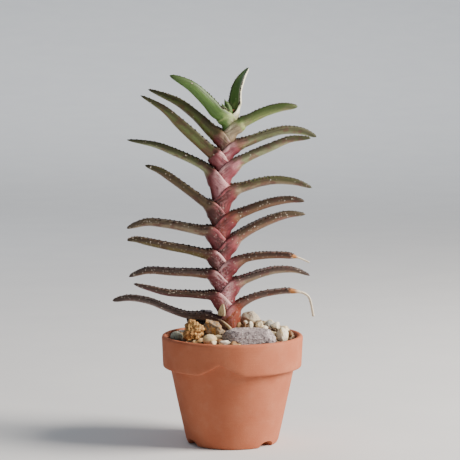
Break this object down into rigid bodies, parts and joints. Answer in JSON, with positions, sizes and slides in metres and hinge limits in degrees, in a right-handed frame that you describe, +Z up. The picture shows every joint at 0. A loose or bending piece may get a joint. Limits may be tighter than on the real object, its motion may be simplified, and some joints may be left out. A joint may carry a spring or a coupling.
{
  "type": "potted succulent",
  "caption": "Tall two-ranked succulent with thick channelled leaves sheathing one stem, in a small clay pot with a deep rim band, topped with gravel and stones.",
  "frame": {"origin": "middle of the pot's underside, on the pot's axis and on the surface it stands on", "axes": "+Z up along the pot's axis, the longest extent; the leaf ranks lie along -X and +X; the side seen in the picture faces -Y"},
  "size_m": [0.1155, 0.08, 0.2115],
  "materials": {
    "terracotta": "matt, unglazed fired clay",
    "soil": "rough, crumbly potting soil",
    "grit": "mixed small pebbles",
    "stem": "matt plant stem",
    "leaf_low": "thick succulent leaf, purple-brown with pale flecks, low sheen",
    "leaf_middle": "thick succulent leaf, olive-brown, low sheen",
    "leaf_upper": "thick succulent leaf, olive green, low sheen",
    "leaf_top": "thick succulent leaf, fresh green, low sheen",
    "stone_lavender": "rough, speckled",
    "stone_golden": "rough",
    "stone_grey_orange": "rough",
    "stone_charcoal": "rough",
    "stone_cream": "smooth",
    "stone_green_grey": "smooth",
    "stone_beige": "rough, speckled",
    "stone_white_long": "smooth",
    "stone_white_round": "smooth",
    "dry_flake": "dry leaf shred"
  },
  "bodies": {
    "root": {"pot": "terracotta", "soil": "soil", "grit": "grit", "stem": "stem", "leaf_left_10": "leaf_low", "leaf_right_10": "leaf_low", "leaf_left_09": "leaf_low", "leaf_right_09": "leaf_low", "leaf_left_08": "leaf_low", "leaf_right_08": "leaf_low", "leaf_left_07": "leaf_middle", "leaf_right_07": "leaf_middle", "leaf_left_06": "leaf_middle", "leaf_right_06": "leaf_middle", "leaf_left_05": "leaf_middle", "leaf_right_05": "leaf_middle", "leaf_left_04": "leaf_upper", "leaf_right_04": "leaf_upper", "leaf_left_03": "leaf_upper", "leaf_right_03": "leaf_upper", "leaf_left_02": "leaf_upper", "leaf_right_02": "leaf_upper", "leaf_left_01": "leaf_top", "leaf_right_01": "leaf_top", "leaf_young": "leaf_top", "stone_lavender": "stone_lavender", "stone_golden": "stone_golden", "stone_grey_orange": "stone_grey_orange", "stone_charcoal": "stone_charcoal", "stone_cream": "stone_cream", "stone_green_grey": "stone_green_grey", "stone_beige": "stone_beige", "stone_white_long": "stone_white_long", "stone_white_round": "stone_white_round", "dry_flake": "dry_flake"}
  },
  "joints": []
}
